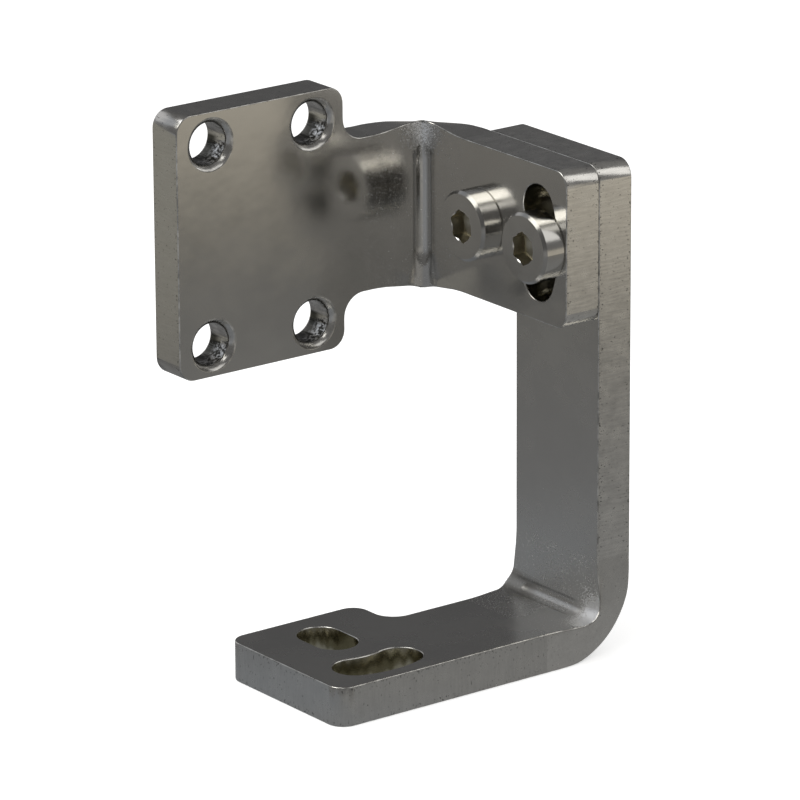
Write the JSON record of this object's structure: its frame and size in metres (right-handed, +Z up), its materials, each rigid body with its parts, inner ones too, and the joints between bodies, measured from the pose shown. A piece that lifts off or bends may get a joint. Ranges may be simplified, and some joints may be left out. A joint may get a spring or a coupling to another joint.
{
  "type": "angle bracket",
  "caption": "Adjustable angle bracket bent from thick stainless plate: a drilled plate tilts on a pivot screw against an upright leg that stands on a slotted foot.",
  "frame": {"origin": "centre of the foot's pivot slot, on the underside of the foot", "axes": "+Z up, square to the foot; +Y from the foot towards the leg; the mounting plate is on the -X side and faces +X"},
  "size_m": [0.0271, 0.0374, 0.0556],
  "materials": {
    "plate_steel": "cold-rolled stainless plate, semi-gloss faces, fine cut marks on the edges",
    "screw_steel": "bright turned stainless steel"
  },
  "bodies": {
    "base": {"base_bracket": "plate_steel", "pivot_screw": "screw_steel", "clamp_screw": "screw_steel"},
    "tilting": {"tilt_bracket": "plate_steel"}
  },
  "joints": [
    {"name": "tilt", "type": "hinge", "parent": "base", "child": "tilting", "pos_m": [-0.00102, 0.02162, 0.04214], "axis": [0, 1, 0], "range_deg": [-21.4, 21.4]}
  ]
}
